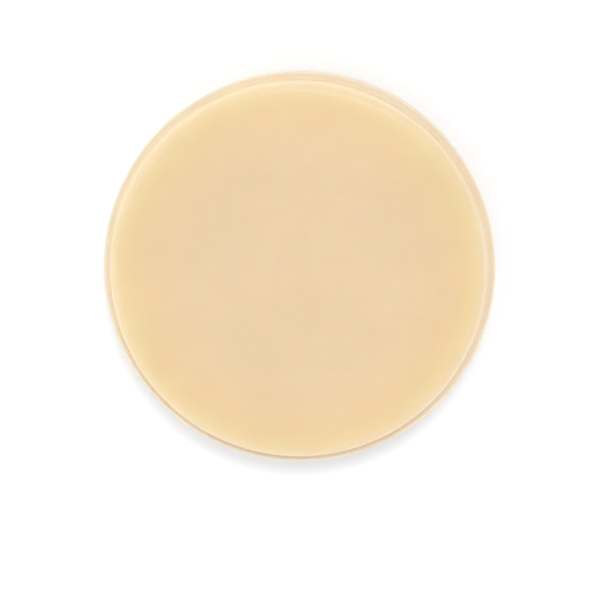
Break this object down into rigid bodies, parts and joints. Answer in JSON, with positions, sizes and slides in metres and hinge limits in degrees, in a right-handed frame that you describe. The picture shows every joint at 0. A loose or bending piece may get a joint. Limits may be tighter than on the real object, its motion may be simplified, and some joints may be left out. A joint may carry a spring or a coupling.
{
  "type": "dental milling disc",
  "caption": "Round ivory polymer blank with a wide clamping flange at mid-thickness and a raised body with rounded edges on each side, clamped by its flange and milled into dental prostheses.",
  "frame": {"origin": "centre of the lower flat face, on the disc's axis", "axes": "+Z along the disc's axis, up through the upper flat face; X and Y lie in the faces and are interchangeable, because the disc is a solid of revolution"},
  "size_m": [0.0984, 0.0984, 0.025],
  "materials": {
    "ivory_polymer": "satin, slightly translucent, tooth-coloured"
  },
  "bodies": {
    "root": {"milling_disc": "ivory_polymer"}
  },
  "joints": []
}
